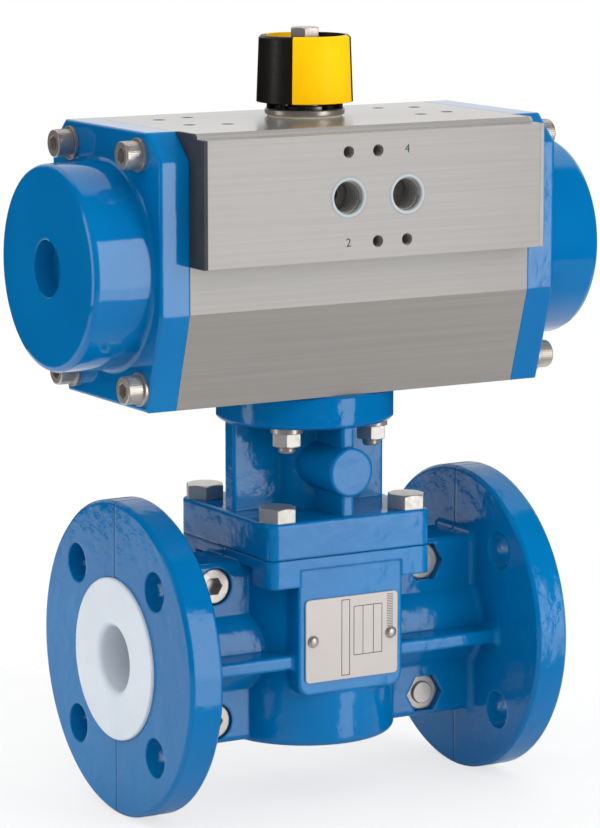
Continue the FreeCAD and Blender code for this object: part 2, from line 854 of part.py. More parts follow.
def actuator_housing():
    body = extrusion(cap_outline(), house_half_x)
    panel = extrusion(panel_outline(), house_half_x - panel_plate_t)
    shape = join([body, panel])
    tools = [cyl_x(cylinder_r, -house_half_x - 1, house_half_x + 1, 0, axis_z)]
    tools += [cyl_z(ring_r, foot_z - 1, foot_z + ring_t / 2), cyl_z(lower_bush_r, foot_z, bush_low_z + bush_h)]
    tools += [cyl_z(pinion_journal_r + run_gap, foot_z, axis_z), cyl_z(pinion_neck_r + run_gap, axis_z, top_z + 1)]
    tools += [cyl_z(upper_bush_r, axis_z, upper_bush_z + bush_h)]
    return shape.cut(tools + housing_air_ways() + housing_screw_holes()).removeSplitter()


def panel_end_plates():
    """The two dark plates that close the ends of the air channel in the raised front."""
    plates = []
    for side in (-1, 1):
        inner = side * (house_half_x - panel_plate_t)
        outer = side * house_half_x
        slab = swept_x(panel_outline(), min(inner, outer), max(inner, outer))
        slab = slab.cut(swept_x(cap_outline(), min(inner, outer) - 1, max(inner, outer) + 1))
        plates.append(slab)
    return solids(plates)


def port_rings():
    """Flat rubber rings round the two air ports."""
    rings = []
    low = -panel_reach - air_ring_proud
    high = low + air_ring_h
    inner = air_port_r + 0.2
    outer = air_port_r + air_ring_t
    soft = air_ring_proud
    for x in (-air_port_x, air_port_x):
        rings.append(turned_y([(inner, high), (inner, low + soft), (inner + soft, low), (outer - soft, low),
                               (outer, low + soft), (outer, high)], x, air_z))
    return solids(rings)


# End caps
def end_cap(side):
    """A cap with a deep round boss; side is the sign of its X."""
    inner = side * house_half_x
    plate_out = side * (house_half_x + cap_plate_t)
    boss_out = side * (house_half_x + cap_plate_t + cap_boss_h)
    plate = swept_x(cap_outline(), min(inner, plate_out), max(inner, plate_out))
    plate = soften(plate, 1.0, lambda e: on_plane(e, "X", plate_out))
    near_end = boss_out - side * cap_nose
    nose_r = cap_boss_r - cap_taper
    boss = turned_x([(inner, 0), (inner, cap_boss_r), (plate_out, cap_boss_r), (near_end, nose_r),
                     (boss_out - side * cap_nose * 0.3, nose_r - cap_nose * 0.3),
                     (boss_out, nose_r - cap_nose), (boss_out, 0)], axis_z)
    shape = join([plate, boss])
    shape = soften(shape, 1.5, lambda e: on_plane(e, "X", plate_out) and e.BoundBox.ZLength < 2 * cap_boss_r + 2
                   and e.BoundBox.YLength < 2 * cap_boss_r + 2 and type(e.Curve).__name__ == "Circle")
    hollow_end = boss_out - side * cap_end_t
    tools = [cyl_x(cap_hollow_r, min(inner - side, hollow_end), max(inner - side, hollow_end), 0, axis_z)]
    dimple = boss_out - side * cap_dimple_h
    tools.append(cyl_x(cap_dimple_r, min(boss_out + side, dimple), max(boss_out + side, dimple), 0, axis_z))
    seal_mid_r = cylinder_r + cap_seal_out
    seal = Part.makeTorus(seal_mid_r, cap_seal_r, V(inner + side * cap_seal_r, 0, axis_z), V(1, 0, 0))
    low = min(inner, inner + side * 2 * cap_seal_r)
    high = low + 2 * cap_seal_r
    lane = cyl_x(seal_mid_r + cap_seal_r, low, high, 0, axis_z)
    lane = lane.cut(cyl_x(seal_mid_r - cap_seal_r, low - 1, high + 1, 0, axis_z))
    tools.append(lane)
    for y in (-cap_screw_y, cap_screw_y):
        for z in (axis_z - cap_screw_z, axis_z + cap_screw_z):
            tools.append(cyl_x(stud_r + hole_gap, min(inner, plate_out) - 1, max(inner, plate_out) + 1, y, z))
    return shape.cut(tools).removeSplitter(), seal


def cap_screws(side):
    """Four socket screws with washers that hold one cap."""
    screws = []
    washers = []
    face = side * (house_half_x + cap_plate_t)
    seat = face + side * m6_washer_t
    head_end = seat + side * m6_cap_h
    tip = side * (house_half_x - cap_screw_in + 1)
    for y in (-cap_screw_y, cap_screw_y):
        for z in (axis_z - cap_screw_z, axis_z + cap_screw_z):
            head = cyl_x(m6_cap_r, min(seat, head_end), max(seat, head_end), y, z)
            head = soften(head, 0.5, lambda e: on_plane(e, "X", head_end))
            shank = cyl_x(stud_r, min(seat, tip), max(seat, tip), y, z)
            key = hexagon("Z", m6_key, 0, m6_cap_h, (0, 0))
            key.rotate(V(0, 0, 0), V(0, 1, 0), 90)
            key.translate(V(head_end - m6_cap_h / 2, y, z))
            screws.append(head.fuse(shank).removeSplitter().cut(key))
            washer = cyl_x(m6_washer_r, min(face, seat), max(face, seat), y, z)
            washers.append(washer.cut(cyl_x(stud_r, min(face, seat) - 1, max(face, seat) + 1, y, z)))
    return solids(screws), solids(washers)


# Pinion
def tooth_gap(turn):
    """One space between two teeth of the pinion, with round flanks."""
    half_gap = (math.pi / gear_teeth) / 2
    slack = backlash / 2 / pitch_r
    out_r = tip_r + 1.0
    press = math.radians(20)
    base_r = pitch_r * math.cos(press)

    def flank(r):
        if r <= base_r:
            r = base_r
        roll = math.sqrt((r / base_r) ** 2 - 1)
        inv = roll - math.atan(roll)
        inv_pitch = math.tan(press) - press
        return half_gap + slack + inv - inv_pitch

    def spot(r, angle):
        return V(r * math.cos(turn + angle), r * math.sin(turn + angle), 0)

    root_angle = flank(base_r) * 0.92
    middle_r = (base_r + out_r) / 2
    left = Part.Arc(spot(base_r, flank(base_r)), spot(middle_r, flank(middle_r)), spot(out_r, flank(out_r))).toShape()
    right = Part.Arc(spot(base_r, -flank(base_r)), spot(middle_r, -flank(middle_r)), spot(out_r, -flank(out_r))).toShape()
    pieces = [left, Part.makeLine(spot(out_r, flank(out_r)), spot(out_r, -flank(out_r))), right,
              Part.makeLine(spot(base_r, -flank(base_r)), spot(root_r, -root_angle)),
              Part.Arc(spot(root_r, -root_angle), spot(root_r, 0), spot(root_r, root_angle)).toShape(),
              Part.makeLine(spot(root_r, root_angle), spot(base_r, flank(base_r)))]
    wire = Part.Wire(Part.__sortEdges__(pieces))
    return Part.Face(wire)


def pinion():
    """The shaft that the racks turn: socket below, teeth in the middle, head for the indicator on top."""
    low = foot_z + run_gap * 6
    gear_low = axis_z - gear_half
    gear_high = axis_z + gear_half
    body = turned_z([(0, low), (pinion_journal_r - 0.6, low), (pinion_journal_r, low + 0.6),
                     (pinion_journal_r, gear_low - 1.5), (root_r, gear_low), (root_r, gear_high),
                     (pinion_neck_r, gear_high + 1.0), (pinion_neck_r, neck_top - 0.4),
                     (pinion_neck_r - 0.4, neck_top), (pinion_head_r, neck_top), (pinion_head_r, head_top),
                     (0, head_top)])
    gear = cyl_z(tip_r, gear_low, gear_high)
    for step in range(gear_teeth):
        turn = -math.pi / 2 + 2 * math.pi * step / gear_teeth
        space = tooth_gap(turn).translated(V(0, 0, gear_low - 1))
        gear = gear.cut(space.extrude(V(0, 0, 2 * gear_half + 2)))
    shape = join([body, gear])
    half = square_flats / 2 + run_gap
    tools = [block(-half, half, -half, half, low - 1, square_top + 1.5)]
    tools.append(cyl_z(m6_core_r, head_top - head_screw_in - 3, head_top + 1))
    flat = pinion_head_flats / 2
    for side in (-1, 1):
        out = pinion_head_r + 1
        tools.append(block(-out, out, min(side * flat, side * out), max(side * flat, side * out), neck_top, head_top + 1))
    for radius, height in ((pinion_journal_r, seal_low_z), (pinion_neck_r, seal_top_z)):
        tools.append(groove_z(radius, radius - 2 * oring_r, height - oring_r, height + oring_r))
    tools.append(groove_z(pinion_neck_r, pinion_neck_r - snap_lip, snap_z, snap_z + snap_t))
    return shape.cut(tools).removeSplitter()


def groove_z(outer, inner, low, high):
    return cyl_z(outer + 5, low, high).cut(cyl_z(inner, low - 1, high + 1))


def pinion_oring(journal_r, height):
    return Part.makeTorus(journal_r - oring_r, oring_r, V(0, 0, height), V(0, 0, 1))


def bush(inner, outer, low):
    return turned_z([(inner, low), (outer, low), (outer, low + bush_h), (inner, low + bush_h)])


def slide_washer():
    return turned_z([(pinion_neck_r + run_gap, top_z), (thrust_washer_r - 1, top_z), (thrust_washer_r - 1, washer_z),
                     (pinion_neck_r + run_gap, washer_z)])


def thrust_washer():
    edge = 0.4
    return turned_z([(pinion_neck_r, washer_z), (thrust_washer_r, washer_z), (thrust_washer_r, snap_z - edge),
                     (thrust_washer_r - edge, snap_z), (pinion_neck_r, snap_z)])


def snap_ring():
    """An open spring ring in the groove over the thrust washer."""
    outer = pinion_neck_r + snap_lip
    ring = turned_z([(pinion_neck_r - snap_lip, snap_z), (outer, snap_z), (outer, snap_z + snap_t),
                     (pinion_neck_r - snap_lip, snap_z + snap_t)])
    gap = block(0, outer + 1, -2, 2, snap_z - 1, snap_z + snap_t + 1)
    return ring.cut(gap)


# Pistons
def rack_profile():
    """The toothed side of the bar for the piston on the right, in X and Y, at rest."""
    pitch = math.pi * gear_module
    press = math.tan(math.radians(20))
    line = -pitch_r
    tip = line + gear_module - 0.05
    foot = line - 1.25 * gear_module
    half = pitch / 4 - backlash / 4
    up = half - (tip - line) * press
    down = half + (line - foot) * press
    start = -rack_past_centre
    end = piston_in + 1
    first = math.ceil((start + down) / pitch)
    last = int(math.floor((piston_in - 8) / pitch))
    points = [(start, -rack_back), (start, foot)]
    for step in range(first, last + 1):
        x = step * pitch
        points += [(x - down, foot), (x - up, tip), (x + up, tip), (x + down, foot)]
    points += [(end, foot), (end, -rack_back)]
    return points


def piston_right():
    """A round head with its seal grooves and a toothed bar that reaches past the pinion."""
    radius = cylinder_r - loose_gap
    head = turned_x([(piston_in, 0), (piston_in, radius - 1), (piston_in + 1, radius), (piston_out - 1, radius),
                     (piston_out, radius - 1), (piston_out, 0)], axis_z)
    low = axis_z - rack_h / 2
    bar = face_of([V(x, y, low) for x, y in rack_profile()]).extrude(V(0, 0, rack_h))
    shape = join([head, bar])
    tools = []
    tools.append(ring_x(radius + 2, cylinder_r - run_gap - 2 * piston_seal_r, seal_x - piston_seal_r, seal_x + piston_seal_r))
    tools.append(ring_x(radius + 2, cylinder_r - run_gap - band_t, band_x, band_x + band_w))
    hollow_r = cylinder_r * 0.55
    tools.append(cyl_x(hollow_r, piston_out - 5, piston_out + 1, 0, axis_z))
    tools.append(block(pad_x, pad_x + pad_w, -rack_back - 1, -rack_back + 2, low - 1, low + rack_h + 1))
    return shape.cut(tools).removeSplitter()


def ring_x(outer, inner, low, high):
    return cyl_x(outer, low, high, 0, axis_z).cut(cyl_x(inner, low - 1, high + 1, 0, axis_z))


def piston_seal_right():
    return Part.makeTorus(cylinder_r - run_gap - piston_seal_r, piston_seal_r, V(seal_x, 0, axis_z), V(1, 0, 0))


def guide_band_right():
    return ring_x(cylinder_r - run_gap, cylinder_r - run_gap - band_t, band_x, band_x + band_w)


def rack_pad_right():
    """The plastic shoe on the back of the bar that slides along the cylinder."""
    reach = block(pad_x, pad_x + pad_w, -cylinder_r - 5, -rack_back + 2, axis_z - rack_h / 2, axis_z + rack_h / 2)
    return reach.common(cyl_x(cylinder_r - run_gap, pad_x - 1, pad_x + pad_w + 1, 0, axis_z))


def turned_round(shape):
    """The same piece on the other side, half a turn about the stem axis."""
    copy = shape.copy()
    copy.rotate(V(0, 0, 0), V(0, 0, 1), 180)
    return copy


# Position indicator
def cup_radius(z):
    return cup_low_r + (cup_top_r - cup_low_r) * (z - cup_z) / cup_h


def indicator_shell():
    """The whole outside of the indicator, a slightly tapered cup upside down."""
    rim = 0.8
    boss_r = m6_flats / 2 + 0.5
    under_z = deck_z - cup_wall
    return turned_z([(cup_hub_r, neck_top), (cup_hub_r, under_z), (cup_top_r - cup_wall, under_z),
                     (cup_low_r - cup_wall, cup_z), (cup_low_r, cup_z), (cup_radius(cup_top - rim), cup_top - rim),
                     (cup_top_r - rim, cup_top), (cup_top_r - cup_wall, cup_top), (cup_top_r - cup_wall, deck_z),
                     (boss_r, deck_z), (boss_r, screw_seat_z), (0, screw_seat_z), (0, neck_top)])


def quarter(low, high):
    """A wedge that holds the quarter turns of the flow marks, front and rear."""
    reach = cup_low_r + 5
    front = face_of([V(0, 0, low), V(-reach, -reach, low), V(reach, -reach, low)]).extrude(V(0, 0, high - low))
    rear = face_of([V(0, 0, low), V(reach, reach, low), V(-reach, reach, low)]).extrude(V(0, 0, high - low))
    return front.fuse(rear)


def indicator_parts():
    shell = indicator_shell()
    hole = cyl_z(pinion_head_r, neck_top - 1, head_top)
    flat = pinion_head_flats / 2
    socket = hole.common(block(-pinion_head_r, pinion_head_r, -flat, flat, neck_top - 1, head_top))
    shell = shell.cut([socket, cyl_z(stud_r, head_top - 1, cup_top + 1)])
    inner = cup_top_r - cup_wall - 1
    skin = turned_z([(cup_low_r - insert_t, cup_z - 1), (cup_low_r + 5, cup_z - 1), (cup_low_r + 5, cup_top + 1),
                     (inner, cup_top + 1), (inner, deck_z), (cup_radius(deck_z) - insert_t, deck_z)])
    marks = shell.common(skin).common(quarter(cup_z - 2, cup_top + 2))
    cup = shell.cut(marks)
    return cup.removeSplitter(), solids(marks.Solids)


def indicator_screw():
    low = screw_seat_z
    head = chamfered_hex("Z", m6_flats, low, low + m6_head_h, (0, 0), ("high",))
    shank = cyl_z(stud_r, head_top, low + 1)
    tip = cyl_z(m6_core_r, head_top - head_screw_in, head_top + 1)
    return head.fuse([shank, tip]).removeSplitter()


def build():
    save("body_half_front", body_half(-1))
    save("body_half_rear", turned_round(body_half(1)))
    save("body_liner", body_liner())
    screws, nuts = body_fasteners()
    save("body_screws", screws)
    save("body_nuts", nuts)
    save("cover_yoke", cover_yoke())
    save("cover_bolts", cover_bolts())
    save("stem_diaphragm", stem_diaphragm())
    save("thrust_ring", thrust_ring())
    save("packing_rings", packing_rings())
    save("packing_gland", packing_gland())
    save("stem_bush", stem_bush())
    save("nameplate", nameplate())
    save("nameplate_rivets", nameplate_rivets())
    studs, stud_nuts, stud_washers = actuator_fasteners()
    save("actuator_studs", studs)
    save("actuator_nuts", stud_nuts)
    save("actuator_washers", stud_washers)
    save("centring_ring", centring_ring())
    save("actuator_housing", actuator_housing())
    save("panel_end_plates", panel_end_plates())
    save("port_rings", port_rings())
    for side, name in ((-1, "left"), (1, "right")):
        cap, seal = end_cap(side)
        save("end_cap_" + name, cap)
        save("cap_seal_" + name, seal)
        cap_bolts, cap_washers = cap_screws(side)
        save("cap_screws_" + name, cap_bolts)
        save("cap_washers_" + name, cap_washers)
    save("pinion_bush_bottom", bush(pinion_journal_r + run_gap, lower_bush_r, bush_low_z))
    save("pinion_bush_top", bush(pinion_neck_r + run_gap, upper_bush_r, upper_bush_z))
    save("slide_washer", slide_washer())
    save("plug_core", plug_core())
    save("plug_lining", plug_lining())
    save("pinion", pinion())
    save("pinion_oring_bottom", pinion_oring(pinion_journal_r, seal_low_z))
    save("pinion_oring_top", pinion_oring(pinion_neck_r, seal_top_z))
    save("thrust_washer", thrust_washer())
    save("snap_ring", snap_ring())
    cup, marks = indicator_parts()
    save("indicator_cup", cup)
    save("indicator_marks", marks)
    save("indicator_screw", indicator_screw())
    right = {"piston": piston_right(), "piston_seal": piston_seal_right(), "guide_band": guide_band_right(),
             "rack_pad": rack_pad_right()}
    for name, shape in right.items():
        save(name + "_right", shape)
        save(name + "_left", turned_round(shape))


build()
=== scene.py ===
import bpy
import json
import math
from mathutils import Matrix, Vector


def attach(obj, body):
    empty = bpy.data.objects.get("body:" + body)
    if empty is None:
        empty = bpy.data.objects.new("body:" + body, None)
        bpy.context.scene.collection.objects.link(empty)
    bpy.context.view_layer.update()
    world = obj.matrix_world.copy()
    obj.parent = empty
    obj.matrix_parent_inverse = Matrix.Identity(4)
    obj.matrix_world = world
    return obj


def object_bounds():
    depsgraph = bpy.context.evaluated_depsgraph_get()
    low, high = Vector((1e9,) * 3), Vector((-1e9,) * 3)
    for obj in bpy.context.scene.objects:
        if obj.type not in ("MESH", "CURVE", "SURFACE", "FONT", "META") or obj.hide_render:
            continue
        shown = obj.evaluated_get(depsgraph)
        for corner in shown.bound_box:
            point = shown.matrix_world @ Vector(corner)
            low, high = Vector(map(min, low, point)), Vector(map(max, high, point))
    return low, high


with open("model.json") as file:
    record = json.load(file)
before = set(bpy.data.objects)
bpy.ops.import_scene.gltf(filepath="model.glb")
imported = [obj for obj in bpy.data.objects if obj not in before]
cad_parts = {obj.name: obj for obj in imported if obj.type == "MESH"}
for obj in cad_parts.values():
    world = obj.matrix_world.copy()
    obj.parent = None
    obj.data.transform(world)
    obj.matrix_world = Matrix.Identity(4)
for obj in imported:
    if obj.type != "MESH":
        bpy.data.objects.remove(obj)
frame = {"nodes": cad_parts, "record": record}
cad_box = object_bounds()
MM = 0.001

# Sizes that the dressed pieces share with the solids, in millimetres
stud_at = 17.68
stud_end = 72.5
stud_nut_low = 75.0
body_screw_x = 44.5
body_screw_z = 25.0
body_screw_seat = 3.6
body_nut_h = 6.5
body_screw_past = 1.2
body_head_h = 8.0
body_head_r = 6.5
housing_top = 192.0
actuator_axis = 143.0
panel_front = -51.5
air_z = 167.8
air_port_x = 12.0
air_port_r = 5.7
small_hole_r = 2.1
small_hole_step = 16.0
top_hole_x = 40.0
top_hole_y = 15.0
cap_washer_x = 82.4
cap_head_h = 6.0
cap_head_r = 5.0
cap_screw_y = 26.1
cap_screw_z = 41.0
plate_front = -34.3
plate_middle_z = 5.9
plate_half_z = 15.2
leg_ring_r = 12.7
leg_low = 195.0
leg_high = 197.7
stud_thread_r = 2.84
stud_pitch = 1.0
body_screw_thread_r = 3.84
body_screw_pitch = 1.25
air_port_depth = 11.0
air_port_pitch = 1.337
small_hole_depth = 8.4
small_hole_pitch = 0.8
number_tall = 4.2
number_thick = 0.02
table_r = 620.0

# Where a finish changes: the end plates along the valve (dark at the left, the right plate painted pale as a
# painted highlight), the enamel from the iron up to the caps
pale_lit_plate_from = 50.0
pale_lit_plate_to = 60.0
iron_top = 92.0
caps_bottom = 96.0
cap_waves = 0.22
iron_coat = 0.75

# The camera stands where the photograph was taken; its focal length counts in dots of the picture
camera_place = (-0.6939, -1.1985, 0.3137)
camera_heading = 30.0
camera_tilt = 9.47
picture_width = 600
focal_dots = 3834.23
sensor_width = 36.0


class Bench:
    """Shared by shader trees and shape trees: puts nodes in place and links what feeds them."""

    def put(self, kind, inputs=None, **settings):
        node = self.nodes.new(kind)
        for key, value in settings.items():
            setattr(node, key, value)
        for key, value in (inputs or {}).items():
            if isinstance(value, bpy.types.NodeSocket):
                self.links.new(value, node.inputs[key])
            else:
                node.inputs[key].default_value = value
        return node

    def combine(self, how, *values):
        return self.put("ShaderNodeMath", dict(enumerate(values)), operation=how).outputs[0]


# Shader bench: small helpers that every finish uses
SHADER_SOCKETS = {
    "colour": "Base Color",
    "metal": "Metallic",
    "rough": "Roughness",
    "specular": "Specular IOR Level",
    "ior": "IOR",
    "anisotropic": "Anisotropic",
    "coat": "Coat Weight",
    "coat_rough": "Coat Roughness",
    "coat_normal": "Coat Normal",
    "milky": "Subsurface Weight",
    "milky_scale": "Subsurface Scale",
    "milky_radius": "Subsurface Radius",
    "normal": "Normal",
}


class Finish(Bench):
    """One material with its shader, and the pattern coordinates of its piece."""

    def __init__(self, name):
        self.material = bpy.data.materials.new(name)
        self.material.use_nodes = True
        self.nodes = self.material.node_tree.nodes
        self.links = self.material.node_tree.links
        self.shader = self.nodes["Principled BSDF"]
        self.place = self.nodes.new("ShaderNodeTexCoord").outputs["Object"]

    def stretched(self, x, y, z):
        node = self.put("ShaderNodeMapping", {"Vector": self.place})
        node.inputs["Scale"].default_value = (x, y, z)
        return node.outputs["Vector"]

    def noise(self, scale, detail=3.0, rough=0.5, vector=None):
        feeds = {"Vector": vector or self.place, "Scale": scale, "Detail": detail, "Roughness": rough}
        return self.put("ShaderNodeTexNoise", feeds).outputs["Fac"]

    def band(self, value, low, high, out_low, out_high):
        ends = {"Value": value, "From Min": low, "From Max": high, "To Min": out_low, "To Max": out_high}
        return self.put("ShaderNodeMapRange", ends).outputs["Result"]

    def place_along(self, axis):
        return self.put("ShaderNodeSeparateXYZ", {0: self.place}).outputs[axis]

    def blend(self, factor, first, second):
        return self.put("ShaderNodeMix", {"Factor": factor, 6: first, 7: second}, data_type="RGBA").outputs[2]

    def set(self, **values):
        for key, value in values.items():
            socket = self.shader.inputs[SHADER_SOCKETS[key]]
            if isinstance(value, bpy.types.NodeSocket):
                self.links.new(value, socket)
            else:
                socket.default_value = value

    def bump(self, height, strength, depth, under=None):
        node = self.put("ShaderNodeBump", {"Height": height, "Strength": strength, "Distance": depth})
        if under:
            self.links.new(under, node.inputs["Normal"])
        return node.outputs["Normal"]

    def rounded(self, radius):
        return self.put("ShaderNodeBevel", {"Radius": radius}, samples=6).outputs["Normal"]


def screen_colour(red, green, blue):
    """A colour as it shows on the screen, 0 to 255, turned into shader light."""
    linear = []
    for value in (red, green, blue):
        share = value / 255
        linear.append(share / 12.92 if share <= 0.04045 else ((share + 0.055) / 1.055) ** 2.4)
    return (*linear, 1.0)


def blue_enamel():
    """Gloss enamel: thick and wavy over the iron of the valve, smoother on the actuator's caps."""
    finish = Finish("blue_enamel")
    tint = finish.band(finish.noise(14.0, 2.0), 0.35, 0.65, 0, 1)
    finish.set(colour=finish.blend(tint, screen_colour(0, 96, 154), screen_colour(0, 107, 166)))
    finish.set(coat_rough=0.06, specular=0.0)
    finish.set(rough=finish.band(finish.noise(220.0, 4.0), 0.3, 0.7, 0.35, 0.5))
    iron = finish.band(finish.place_along("Z"), iron_top * MM, caps_bottom * MM, 1.0, cap_waves)
    finish.set(coat=finish.band(iron, cap_waves, 1.0, 1.0, iron_coat))
    soft_edges = finish.rounded(0.0012)
    waves = finish.bump(finish.combine("MULTIPLY", finish.noise(110.0, 1.0), iron), 1.0, 0.00034, soft_edges)
    grains = finish.bump(finish.combine("MULTIPLY", finish.noise(300.0, 2.0), iron), 1.0, 0.00012, waves)
    pits = finish.bump(finish.combine("MULTIPLY", finish.noise(1500.0, 2.0), iron), 1.0, 0.00003, grains)
    finish.set(normal=pits, coat_normal=pits)
    return finish.material


def brushed_extrusion():
    """Clear anodised aluminium, brushed along the length of the housing."""
    finish = Finish("brushed_anodised_extrusion")
    fine = finish.noise(1.0, 6.0, 0.65, finish.stretched(14.0, 3200.0, 3200.0))
    broad = finish.noise(1.0, 4.0, 0.6, finish.stretched(9.0, 900.0, 900.0))
    tint = finish.band(broad, 0.25, 0.75, 0, 1)
    finish.set(colour=finish.blend(tint, screen_colour(127, 124, 120), screen_colour(137, 133, 129)))
    finish.set(rough=finish.band(fine, 0.3, 0.7, 0.36, 0.48), metal=0.06, anisotropic=0.3)
    finish.set(coat=1.0, coat_rough=0.2)
    finish.set(normal=finish.bump(fine, 0.25, 0.00003, finish.rounded(0.0004)))
    return finish.material


def milky_liner():
    """The waxy white plastic of the lining, which lets light a little way in."""
    finish = Finish("milky_liner_plastic")
    cloud = finish.band(finish.noise(40.0, 2.0), 0.3, 0.7, 0, 1)
    finish.set(colour=finish.blend(cloud, screen_colour(201, 209, 218), screen_colour(211, 218, 226)))
    finish.set(rough=finish.band(finish.noise(500.0, 3.0), 0.3, 0.7, 0.34, 0.46), ior=1.35)
    finish.set(milky=0.3, milky_radius=(0.9, 1.0, 1.1), milky_scale=0.004)
    finish.set(normal=finish.bump(finish.noise(300.0), 0.15, 0.00005, finish.rounded(0.0008)))
    return finish.material


def metal(name, colour, rough_low, rough_high, grain, wear=0.0, metallic=1.0, edge=0.0003):
    """Bare or plated metal with fine tool marks and a slightly uneven shine."""
    finish = Finish(name)
    marks = finish.noise(grain, 3.0, 0.5)
    patches = finish.noise(90.0, 3.0)
    dull = tuple(channel * (1 - wear) for channel in colour[:3]) + (1.0,)
    finish.set(colour=finish.blend(finish.band(patches, 0.4, 0.75, 0, 1), colour, dull), metal=metallic)
    finish.set(rough=finish.band(marks, 0.3, 0.7, rough_low, rough_high))
    finish.set(normal=finish.bump(marks, 0.1, 0.00001, finish.rounded(edge)))
    return finish.material


def moulding(name, colour, rough_low, rough_high, grain=700.0, specular=0.5):
    """Moulded plastic or rubber with a fine skin."""
    finish = Finish(name)
    lighter = tuple(min(1.0, channel * 1.1 + 0.002) for channel in colour[:3]) + (1.0,)
    patches = finish.band(finish.noise(60.0), 0.3, 0.7, 0, 1)
    finish.set(colour=finish.blend(patches, colour, lighter), specular=specular)
    finish.set(rough=finish.band(finish.noise(grain, 3.0), 0.3, 0.7, rough_low, rough_high))
    finish.set(normal=finish.bump(finish.noise(grain, 2.0), 0.2, 0.00002, finish.rounded(0.0004)))
    return finish.material


def end_plates_painted_lit_right():
    """The plates on the ends of the air channel: dark at the left; the right plate is painted pale, a painted
    highlight standing in for the light on that end.
    """
    finish = Finish("end_plates_dark_left_painted_pale_right")
    # the right plate is painted pale: a painted highlight for the light on that end, not a colour of its own
    side = finish.band(finish.place_along("X"), pale_lit_plate_from * MM, pale_lit_plate_to * MM, 0, 1)
    worn = finish.band(finish.noise(60.0), 0.3, 0.7, 0, 1)
    dark = finish.blend(worn, screen_colour(50, 55, 61), screen_colour(56, 61, 68))
    painted_lit_pale = finish.blend(worn, screen_colour(150, 145, 140), screen_colour(166, 161, 155))
    finish.set(colour=finish.blend(side, dark, painted_lit_pale), specular=0.2)
    finish.set(rough=finish.band(finish.noise(700.0, 3.0), 0.3, 0.7, 0.45, 0.6))
    finish.set(normal=finish.bump(finish.noise(700.0, 2.0), 0.2, 0.00002, finish.rounded(0.0004)))
    return finish.material


finishes = {
    "blue_paint": blue_enamel(),
    "anodised": brushed_extrusion(),
    "liner_plastic": milky_liner(),
    "stainless": metal("stainless_screw", screen_colour(200, 192, 184), 0.3, 0.38, 900.0,
                       wear=0.06, metallic=0.8, edge=0.0005),
    "zinc_steel": metal("zinc_plated_steel", screen_colour(202, 198, 192), 0.32, 0.42, 700.0,
                        wear=0.08, metallic=0.8, edge=0.0005),
    "plain_steel": metal("oiled_steel", screen_colour(130, 130, 132), 0.3, 0.45, 700.0, 0.25),
    "cast_aluminium": metal("machined_alloy", screen_colour(160, 160, 158), 0.32, 0.5, 800.0, 0.1),
    "nameplate_metal": metal("nameplate_sheet", screen_colour(196, 190, 186), 0.42, 0.52, 1200.0, 0.03, 0.25),
    "black_plate": end_plates_painted_lit_right(),
    "black_plastic": moulding("black_indicator", screen_colour(24, 20, 18), 0.3, 0.42, specular=0.3),
    "yellow_plastic": moulding("yellow_indicator", screen_colour(247, 188, 0), 0.38, 0.5, specular=0.06),
    "port_rubber": moulding("pale_port_ring", screen_colour(164, 173, 176), 0.45, 0.6),
    "black_rubber": moulding("black_rubber", screen_colour(30, 30, 30), 0.5, 0.7),
    "bearing_plastic": moulding("cream_bearing_plastic", screen_colour(212, 204, 182), 0.4, 0.55),
}

for part in frame["record"]["subparts"]:
    solid = frame["nodes"][part["node"]]
    solid.data.materials.clear()
    solid.data.materials.append(finishes[part["material_slot"]])


# Shape bench: a tree that repeats one shape, then a plain mesh
class Pattern(Bench):
    """A tree of shape nodes with named sizes; it stands on the points of a small mesh of places."""

    def __init__(self, name):
        self.group = bpy.data.node_groups.new(name, "GeometryNodeTree")
        self.nodes = self.group.nodes
        self.links = self.group.links
        self.sizes = {}
        self.group.interface.new_socket("Geometry", in_out="INPUT", socket_type="NodeSocketGeometry")
        self.group.interface.new_socket("Geometry", in_out="OUTPUT", socket_type="NodeSocketGeometry")
        self.way_in = self.nodes.new("NodeGroupInput")
        self.way_out = self.nodes.new("NodeGroupOutput")

    def size(self, label, value):
        kind = {float: "NodeSocketFloat", int: "NodeSocketInt", tuple: "NodeSocketVector"}[type(value)]
        socket = self.group.interface.new_socket(label, in_out="INPUT", socket_type=kind)
        self.sizes[socket.identifier] = value
        return self.way_in.outputs[label]

    def stand(self, shape, turn):
        """The shape on every place, turned the same way on each."""
        inputs = {"Points": self.way_in.outputs[0], "Instance": shape, "Rotation": turn}
        return self.put("GeometryNodeInstanceOnPoints", inputs).outputs[0]

    def make(self, name, shape, places, body, slot):
        real = self.put("GeometryNodeRealizeInstances", {0: shape}).outputs[0]
        painted = self.put("GeometryNodeSetMaterial", {0: real, "Material": finishes[slot]}).outputs[0]
        self.links.new(painted, self.way_out.inputs[0])
        spots = bpy.data.meshes.new(name + "_places")
        spots.from_pydata([tuple(value * MM for value in place) for place in places], [], [])
        holder = bpy.data.objects.new(name + "_places", spots)
        bpy.context.scene.collection.objects.link(holder)
        modifier = holder.modifiers.new("pattern", "NODES")
        modifier.node_group = self.group
        for identifier, value in self.sizes.items():
            modifier[identifier] = value
        ready = holder.evaluated_get(bpy.context.evaluated_depsgraph_get())
        mesh = bpy.data.meshes.new_from_object(ready)
        bpy.data.objects.remove(holder)
        return keep(name, mesh, body, slot)


def keep(name, mesh, body, slot):
    """A finished mesh as a piece of the valve, riding one of its bodies."""
    piece = bpy.data.objects.new(name, mesh)
    bpy.context.scene.collection.objects.link(piece)
    if not mesh.materials:
        mesh.materials.append(finishes[slot])
    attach(piece, body)
    return piece


UP = (0.0, 0.0, 0.0)
TO_FRONT = (math.pi / 2, 0.0, 0.0)
TO_REAR = (-math.pi / 2, 0.0, 0.0)
TO_RIGHT = (0.0, math.pi / 2, 0.0)
TO_LEFT = (0.0, -math.pi / 2, 0.0)


